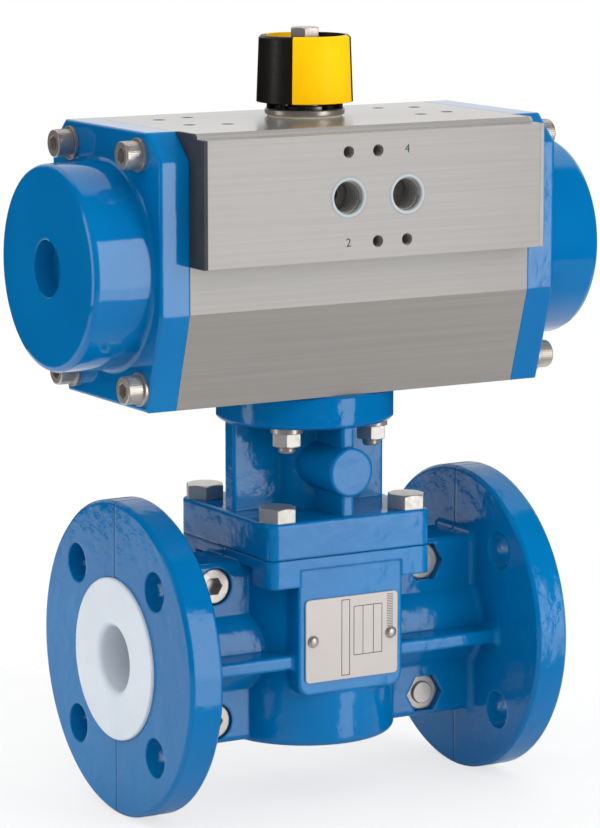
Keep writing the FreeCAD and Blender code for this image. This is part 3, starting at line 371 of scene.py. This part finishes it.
def thread(name, places, turn, start, length, radius, pitch, body, slot, ridge=0.3):
    """A screw thread as a ridge that winds along its axis, on each of the places."""
    tree = Pattern(name)
    step = tree.size("Pitch", pitch * MM)
    rounds = tree.size("Turns", float(length / pitch))
    core = tree.size("Radius", radius * MM)
    crest = tree.size("Ridge", pitch * ridge * MM)
    long = tree.combine("MULTIPLY", step, rounds)
    lines = {"Resolution": 28, "Rotations": rounds, "Start Radius": core, "End Radius": core, "Height": long}
    line = tree.put("GeometryNodeCurveSpiral", lines).outputs[0]
    section = tree.put("GeometryNodeCurvePrimitiveCircle", {"Resolution": 6, "Radius": crest}).outputs[0]
    swept = tree.put("GeometryNodeCurveToMesh", {0: line, 1: section, "Fill Caps": True}).outputs[0]
    begin = tree.size("Start", (0.0, 0.0, start * MM))
    moved = tree.put("GeometryNodeTransform", {0: swept, "Translation": begin}).outputs[0]
    return tree.make(name, tree.stand(moved, tree.size("Turn", turn)), places, body, slot)


def pin_ring(name, places, turn, low, high, ring_r, pin_r, count, body, slot, sides=4):
    """Round pins or knurl ridges that stand in a ring about the axis of each place."""
    tree = Pattern(name)
    number = tree.size("Count", count)
    round_r = tree.size("Ring radius", ring_r * MM)
    ring = tree.put("GeometryNodeMeshCircle", {"Vertices": number, "Radius": round_r}).outputs[0]
    thick = tree.size("Pin radius", pin_r * MM)
    tall = tree.size("Pin height", (high - low) * MM)
    pin = tree.put("GeometryNodeMeshCylinder", {"Vertices": sides, "Radius": thick, "Depth": tall}).outputs[0]
    around = tree.put("GeometryNodeInstanceOnPoints", {"Points": ring, "Instance": pin}).outputs[0]
    middle = tree.size("Middle", (0.0, 0.0, (low + high) / 2 * MM))
    moved = tree.put("GeometryNodeTransform", {0: around, "Translation": middle}).outputs[0]
    return tree.make(name, tree.stand(moved, tree.size("Turn", turn)), places, body, slot)


def bars(name, places, step, count, size, body, slot):
    """A row of equal bars from each place on."""
    tree = Pattern(name)
    number = tree.size("Count", count)
    offset = tree.size("Step", tuple(value * MM for value in step))
    row = tree.put("GeometryNodeMeshLine", {"Count": number, "Offset": offset}, mode="OFFSET").outputs[0]
    measures = tree.size("Bar", tuple(value * MM for value in size))
    bar = tree.put("GeometryNodeMeshCube", {"Size": measures}).outputs[0]
    along = tree.put("GeometryNodeInstanceOnPoints", {"Points": row, "Instance": bar}).outputs[0]
    return tree.make(name, tree.stand(along, tree.size("Turn", UP)), places, body, slot)


# Screws
corners = [(-1, -1), (-1, 1), (1, -1), (1, 1)]
stud_places = [(x * stud_at, y * stud_at, 0) for x, y in corners]
stud_tip = stud_nut_low - stud_end
thread("stud_threads", stud_places, UP, stud_end + 0.6, stud_tip,
       stud_thread_r, stud_pitch, "valve_frame", "stainless")

screw_tip = body_screw_seat + body_nut_h
for side, turn in ((1, TO_FRONT), (-1, TO_REAR)):
    end = "front" if side == 1 else "rear"
    nut_places = [(side * body_screw_x, 0, z) for z in (-body_screw_z, body_screw_z)]
    thread("body_screw_thread_" + end, nut_places, turn, screw_tip - 0.3, body_screw_past,
           body_screw_thread_r, body_screw_pitch, "valve_frame", "stainless")
    head_places = [(-side * body_screw_x, 0, z) for z in (-body_screw_z, body_screw_z)]
    low = body_screw_seat + 0.8
    high = body_screw_seat + body_head_h - 1.2
    pin_ring("body_screw_knurl_" + end, head_places, turn, low, high,
             body_head_r - 0.1, 0.2, 54, "valve_frame", "stainless")

for side, turn in ((-1, TO_LEFT), (1, TO_RIGHT)):
    end = "left" if side == -1 else "right"
    cap_places = [(0, y * cap_screw_y, actuator_axis + z * cap_screw_z) for y, z in corners]
    low = cap_washer_x + 0.7
    high = cap_washer_x + cap_head_h - 1.0
    pin_ring("cap_screw_knurl_" + end, cap_places, turn, low, high,
             cap_head_r - 0.08, 0.16, 44, "valve_frame", "stainless")

# Threads inside the tapped holes
port_places = [(x, 0, air_z) for x in (-air_port_x, air_port_x)]
front = -panel_front
thread("air_port_threads", port_places, TO_FRONT, front - air_port_depth, air_port_depth - 1.6,
       air_port_r, air_port_pitch, "valve_frame", "anodised", 0.36)
valve_screw_places = [(-air_port_x, 0, air_z + small_hole_step), (0, 0, air_z + small_hole_step)]
valve_screw_places += [(0, 0, air_z - small_hole_step), (air_port_x, 0, air_z - small_hole_step)]
thread("air_valve_hole_threads", valve_screw_places, TO_FRONT, front - small_hole_depth,
       small_hole_depth - 0.5, small_hole_r, small_hole_pitch, "valve_frame", "anodised")
top_places = [(x * top_hole_x, y * top_hole_y, 0) for x, y in corners]
thread("top_hole_threads", top_places, UP, housing_top - small_hole_depth,
       small_hole_depth - 1.2, small_hole_r, small_hole_pitch, "valve_frame", "anodised")

# Legs under the indicator cup
pin_ring("indicator_legs", [(0, 0, 0)], UP, leg_low, leg_high,
         leg_ring_r, 1.25, 9, "plug_train", "black_plastic", 12)


# Print on the nameplate: boxes and hatching
def plate_box(left, right, high, low, line=0.22):
    """The four bars of a printed box; high and low count down from the top of the plate."""
    top = plate_middle_z + plate_half_z
    middle_x = (left + right) / 2
    middle_z = top - (high + low) / 2
    wide = right - left
    tall = low - high
    return [((middle_x, top - high), (wide, line)), ((middle_x, top - low), (wide, line)),
            ((left, middle_z), (line, tall)), ((right, middle_z), (line, tall))]


def flat_bars(name, rows, body, slot, thick=0.05):
    """Thin printed bars on the front of the plate, each a closed box."""
    vertices = []
    faces = []
    for (x, z), (wide, tall) in rows:
        first = len(vertices)
        for y in (plate_front, plate_front - thick):
            for sx, sz in ((-1, -1), (1, -1), (1, 1), (-1, 1)):
                vertices.append(((x + sx * wide / 2) * MM, y * MM, (z + sz * tall / 2) * MM))
        for quad in ((3, 2, 1, 0), (4, 5, 6, 7), (0, 1, 5, 4), (1, 2, 6, 5), (2, 3, 7, 6), (3, 0, 4, 7)):
            faces.append(tuple(first + corner for corner in quad))
    mesh = bpy.data.meshes.new(name)
    mesh.from_pydata(vertices, [], faces)
    return keep(name, mesh, body, slot)


table_lines = plate_box(-4.3, -1.0, 1.2, 29.0) + plate_box(0.8, 12.6, 4.0, 22.0)
for x in (4.6, 9.0):
    table_lines.append(((x, plate_middle_z + plate_half_z - 13.0), (0.2, 18.0)))
flat_bars("nameplate_boxes", table_lines, "valve_frame", "black_plate")
hatch_top = plate_middle_z + plate_half_z - 0.9
hatch_start = (16.0, plate_front - 0.02, hatch_top)
hatch_step = (0.0, 0.0, -0.62)
bars("nameplate_hatching", [hatch_start], hatch_step, 20, (2.6, 0.05, 0.18), "valve_frame", "black_plate")


def port_number(text, x, z):
    """A plain number beside an air port."""
    curve = bpy.data.curves.new("port_number_" + text, "FONT")
    curve.body = text
    curve.size = number_tall * MM
    curve.extrude = number_thick * MM
    curve.align_x = "CENTER"
    curve.align_y = "CENTER"
    letter = bpy.data.objects.new("port_number_shape_" + text, curve)
    bpy.context.scene.collection.objects.link(letter)
    ready = letter.evaluated_get(bpy.context.evaluated_depsgraph_get())
    mesh = bpy.data.meshes.new_from_object(ready)
    bpy.data.objects.remove(letter)
    for vertex in mesh.vertices:
        vertex.co = Vector((vertex.co.x + x * MM, panel_front * MM - vertex.co.z, vertex.co.y + z * MM))
    return keep("port_number_" + text, mesh, "valve_frame", "black_plate")


port_number("4", air_port_x, air_z + small_hole_step)
port_number("2", -air_port_x, air_z - small_hole_step)


# Table, camera and light
def table_top():
    """The white table under the valve; where the eye sees it, its far parts fade into the white room."""
    low = cad_box[0][2]
    mesh = bpy.data.meshes.new("table_top")
    points = []
    for step in range(96):
        turn = 2 * math.pi * step / 96
        points.append((table_r * MM * math.cos(turn), table_r * MM * math.sin(turn), low))
    mesh.from_pydata(points, [], [tuple(range(96))])
    table = bpy.data.objects.new("table_top", mesh)
    bpy.context.scene.collection.objects.link(table)
    finish = Finish("white_table")
    grain = finish.noise(30.0, 3.0)
    colour = finish.blend(finish.band(grain, 0.3, 0.7, 0, 1), (0.88, 0.88, 0.88, 1), (0.92, 0.92, 0.92, 1))
    finish.set(colour=colour, rough=0.7, specular=0.2, normal=finish.bump(grain, 0.05, 0.0002))
    level = finish.stretched(1.0, 1.0, 0.0)
    flat = finish.put("ShaderNodeVectorMath", {0: level}, operation="LENGTH").outputs["Value"]
    fade = finish.band(flat, table_r * 0.3 * MM, table_r * 0.9 * MM, 0.7, 1.0)
    path = finish.put("ShaderNodeLightPath")
    near = finish.band(finish.place_along("Y"), -0.12, 0.0, 0.7, 0.0)
    under = finish.put("ShaderNodeNewGeometry").outputs["Backfacing"]
    eye = finish.combine("MULTIPLY", finish.combine("MAXIMUM", fade, under), path.outputs["Is Camera Ray"])
    mirror = finish.combine("MULTIPLY", near, path.outputs["Is Glossy Ray"])
    clear = finish.combine("ADD", eye, mirror)
    seen_through = finish.put("ShaderNodeBsdfTransparent").outputs[0]
    mixed = finish.put("ShaderNodeMixShader", {0: clear, 1: finish.shader.outputs[0], 2: seen_through})
    finish.links.new(mixed.outputs[0], finish.nodes["Material Output"].inputs["Surface"])
    mesh.materials.append(finish.material)


def photo_camera():
    """The camera at the photograph's angle and distance."""
    data = bpy.data.cameras.new("photo_camera")
    camera = bpy.data.objects.new("photo_camera", data)
    bpy.context.scene.collection.objects.link(camera)
    heading = math.radians(camera_heading)
    tilt = math.radians(camera_tilt)
    camera.location = camera_place
    look = Vector((math.sin(heading) * math.cos(tilt), math.cos(heading) * math.cos(tilt), -math.sin(tilt)))
    camera.rotation_euler = look.to_track_quat("-Z", "Y").to_euler()
    data.sensor_fit = "HORIZONTAL"
    data.sensor_width = sensor_width
    data.lens = focal_dots / picture_width * sensor_width
    bpy.context.scene.camera = camera


def soft_box(name, azimuth, height, distance, width, tall, power):
    """A lamp that faces the valve; azimuth 0 is the front, positive to the right."""
    data = bpy.data.lights.new(name, "AREA")
    data.shape = "RECTANGLE"
    data.size = width
    data.size_y = tall
    data.energy = power
    lamp = bpy.data.objects.new(name, data)
    turn = math.radians(azimuth)
    lamp.location = (distance * math.sin(turn), -distance * math.cos(turn), height)
    aim = Vector((0, 0, 0.08)) - lamp.location
    lamp.rotation_euler = aim.to_track_quat("-Z", "Y").to_euler()
    bpy.context.scene.collection.objects.link(lamp)


class Room(Bench):
    """The world round the valve: white behind and overhead, dim in front, soft light from above."""

    def __init__(self, even, lean, lean_way, dim, white_way, edge, full):
        self.world = bpy.data.worlds.new("white_room")
        self.world.use_nodes = True
        bpy.context.scene.world = self.world
        self.nodes = self.world.node_tree.nodes
        self.links = self.world.node_tree.links
        self.world.cycles.sampling_method = "NONE"
        self.nodes.clear()
        path = self.put("ShaderNodeLightPath")
        way = self.put("ShaderNodeTexCoord").outputs["Generated"]
        toward = self.along(way, white_way)
        ends = {"Value": toward, "From Min": edge, "From Max": full}
        white = self.put("ShaderNodeMapRange", ends, interpolation_type="SMOOTHSTEP").outputs["Result"]
        mirror = self.combine("MAXIMUM", path.outputs["Is Glossy Ray"], path.outputs["Is Transmission Ray"])
        soft = self.combine("MULTIPLY_ADD", self.along(way, lean_way), lean, even)
        choice = {"Value": mirror, "To Min": soft, "To Max": dim}
        base = self.put("ShaderNodeMapRange", choice).outputs["Result"]
        light = self.combine("MAXIMUM", self.combine("MAXIMUM", base, white), path.outputs["Is Camera Ray"])
        back = self.put("ShaderNodeBackground", {"Color": (1, 1, 1, 1), "Strength": light})
        out = self.put("ShaderNodeOutputWorld")
        self.links.new(back.outputs[0], out.inputs[0])

    def along(self, way, direction):
        feeds = {0: way, 1: direction}
        return self.put("ShaderNodeVectorMath", feeds, operation="DOT_PRODUCT").outputs["Value"]


table_top()
photo_camera()
Room(even=0.87, lean=0.5, lean_way=(0.0, -0.66, 0.75), dim=0.015,
     white_way=(0.383, 0.663, 0.643), edge=0.70, full=0.82)
soft_box("front_right_box", azimuth=26.0, height=0.14, distance=1.4, width=0.5, tall=1.6, power=9.6)
soft_box("left_box", azimuth=-108.0, height=0.3, distance=1.5, width=0.3, tall=1.2, power=3.0)
bpy.context.scene.view_settings.view_transform = "Standard"
